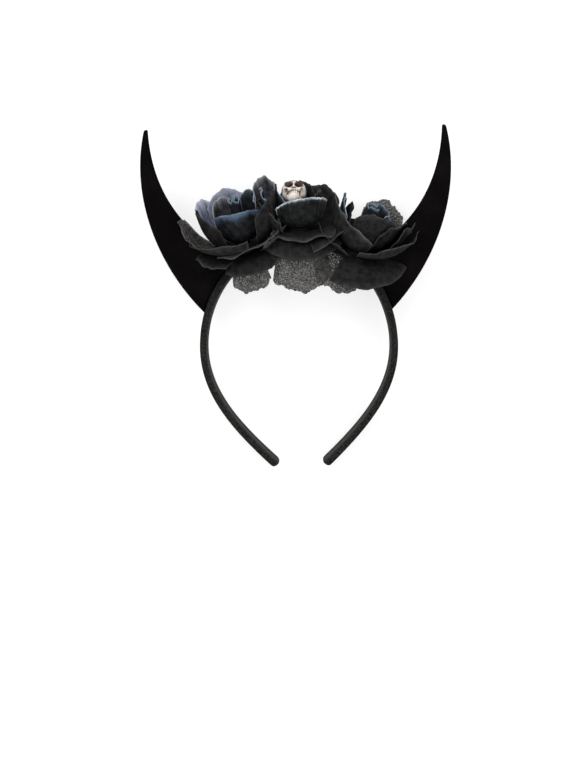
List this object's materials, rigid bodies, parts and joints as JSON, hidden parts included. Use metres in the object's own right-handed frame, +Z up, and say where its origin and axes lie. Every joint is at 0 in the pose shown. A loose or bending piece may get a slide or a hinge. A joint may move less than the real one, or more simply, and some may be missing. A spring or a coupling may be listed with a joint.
{
  "type": "costume headband",
  "caption": "Cloth-covered headband with flat curved horns, fabric roses and a small skull, worn as costume.",
  "frame": {"origin": "under the middle of the bounding box, on the surface that the headband lies on", "axes": "+X to the right seen from the front, +Y from the band's open ends to the horns' tips, +Z up out of the band's front"},
  "size_m": [0.2036, 0.2208, 0.0698],
  "materials": {
    "band_cloth": "fine ribbed cloth, matte",
    "horn_flock": "flocked, fully matte",
    "skull_resin": "cream with brown in the hollows, slight gloss",
    "petal_sheer": "thin speckled cloth that lets some light through",
    "petal_dark": "charcoal petal cloth with paler rims",
    "petal_blue": "slate blue petal cloth with pale rims"
  },
  "bodies": {
    "root": {"headband": "band_cloth", "horn_left": "horn_flock", "horn_right": "horn_flock", "skull": "skull_resin", "rose_left_skirt": "petal_sheer", "rose_left_outer": "petal_dark", "rose_left_middle": "petal_dark", "rose_left_inner": "petal_blue", "rose_left_bud": "petal_blue", "rose_middle_skirt": "petal_sheer", "rose_middle_outer": "petal_dark", "rose_middle_middle": "petal_dark", "rose_middle_inner": "petal_blue", "rose_middle_bud": "petal_blue", "rose_right_skirt": "petal_sheer", "rose_right_outer": "petal_dark", "rose_right_middle": "petal_dark", "rose_right_inner": "petal_blue", "rose_right_bud": "petal_blue"}
  },
  "joints": []
}
